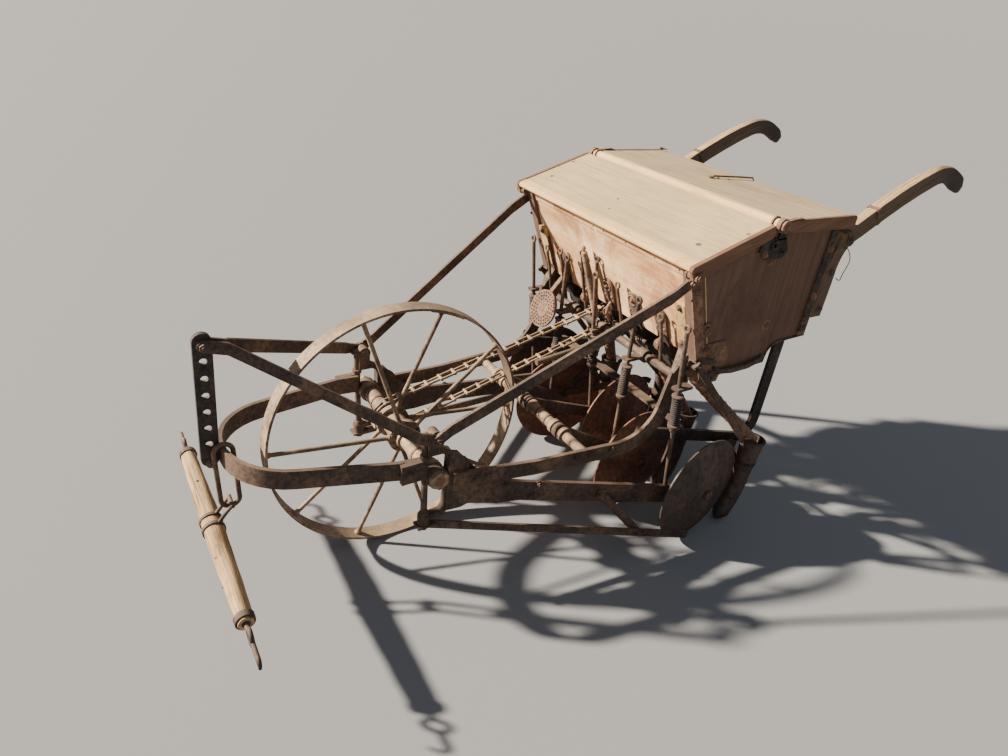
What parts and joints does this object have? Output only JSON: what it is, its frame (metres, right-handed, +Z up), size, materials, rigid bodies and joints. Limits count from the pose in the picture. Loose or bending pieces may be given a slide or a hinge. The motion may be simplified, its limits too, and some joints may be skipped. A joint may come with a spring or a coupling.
{
  "type": "seed drill",
  "caption": "Old walk-behind seed drill with a spoked iron front wheel, slanted wooden seed box, dished discs, plough handles and a wooden singletree.",
  "frame": {"origin": "on the floor, straight under the middle of the front wheel's axle", "axes": "+Z up, the drill faces -Y and works towards -Y, +X is its left-hand side"},
  "size_m": [0.8415, 2.0562, 0.9732],
  "materials": {
    "iron": "rusty",
    "sheet_iron": "rusty sheet",
    "wood_red": "worn red paint",
    "wood_faded": "weathered, traces of paint",
    "wood_grey": "weathered grey"
  },
  "bodies": {
    "frame": {"axle": "iron", "yoke_left": "iron", "yoke_right": "iron", "front_loop": "iron", "hitch_bar": "iron", "hitch_strap_left": "iron", "hitch_strap_right": "iron", "side_bar_left": "iron", "side_bar_right": "iron", "rear_stay_left": "iron", "rear_stay_right": "iron", "long_brace_left": "iron", "long_brace_right": "iron", "flat_straps": "iron", "drag_rod": "iron", "drag_bars": "iron", "boots": "sheet_iron", "seed_tubes": "sheet_iron", "pressure_rods": "iron", "lift_shaft": "iron", "cross_bar": "iron", "feed_cups": "iron", "drive_chain": "iron", "rate_plate": "iron", "box_front": "wood_red", "box_rear": "wood_red", "box_bottom": "wood_red", "box_divider": "wood_red", "box_end_left": "wood_red", "box_end_right": "wood_red", "box_irons_left": "iron", "box_irons_right": "iron", "lid_rail": "wood_faded", "handle_left": "wood_grey", "handle_right": "wood_grey"},
    "wheel": {"wheel": "iron"},
    "feed_roll": {"feed_shaft": "iron"},
    "front_lid": {"lid_front": "wood_faded"},
    "rear_lid": {"lid_rear": "wood_faded"},
    "draft_link": {"hitch_link": "iron"},
    "tree": {"singletree": "wood_grey"},
    "disc_body_1": {"disc_1": "sheet_iron"},
    "disc_body_2": {"disc_2": "sheet_iron"},
    "disc_body_3": {"disc_3": "sheet_iron"},
    "disc_body_4": {"disc_4": "sheet_iron"},
    "disc_body_5": {"disc_5": "sheet_iron"}
  },
  "joints": [
    {"name": "wheel_spin", "type": "hinge", "parent": "frame", "child": "wheel", "pos_m": [0, 0, 0.328], "axis": [1, 0, 0], "continuous": true},
    {"name": "feed_spin", "type": "hinge", "parent": "frame", "child": "feed_roll", "pos_m": [0, 0.69, 0.5], "axis": [1, 0, 0], "continuous": true},
    {"name": "disc_1_spin", "type": "hinge", "parent": "frame", "child": "disc_body_1", "pos_m": [0.372, 0.722, 0.152], "axis": [0.9925, 0.1219, 0], "continuous": true},
    {"name": "disc_2_spin", "type": "hinge", "parent": "frame", "child": "disc_body_2", "pos_m": [0.186, 0.645, 0.152], "axis": [0.9925, 0.1219, 0], "continuous": true},
    {"name": "disc_3_spin", "type": "hinge", "parent": "frame", "child": "disc_body_3", "pos_m": [0, 0.735, 0.152], "axis": [0.9925, 0.1219, 0], "continuous": true},
    {"name": "disc_4_spin", "type": "hinge", "parent": "frame", "child": "disc_body_4", "pos_m": [-0.186, 0.645, 0.152], "axis": [-0.9925, 0.1219, 0], "continuous": true},
    {"name": "disc_5_spin", "type": "hinge", "parent": "frame", "child": "disc_body_5", "pos_m": [-0.372, 0.722, 0.152], "axis": [-0.9925, 0.1219, 0], "continuous": true},
    {"name": "front_lid_lift", "type": "hinge", "parent": "frame", "child": "front_lid", "pos_m": [0, 0.54, 0.789], "axis": [1, 0, 0], "range_deg": [0, 80]},
    {"name": "rear_lid_lift", "type": "hinge", "parent": "frame", "child": "rear_lid", "pos_m": [0, 0.786, 0.8785], "axis": [1, 0, 0], "range_deg": [0, 100]},
    {"name": "link_swing", "type": "hinge", "parent": "frame", "child": "draft_link", "pos_m": [0.016, -0.4097, 0.4055], "axis": [1, 0, 0], "range_deg": [-8, 8]},
    {"name": "tree_turn", "type": "hinge", "parent": "draft_link", "child": "tree", "pos_m": [0.016, -0.4097, 0.2495], "axis": [0, 0, 1], "range_deg": [-25, 25]}
  ],
  "couplings": [
    {"joint": "feed_spin", "follows": "wheel_spin", "ratio": 1.3571}
  ]
}
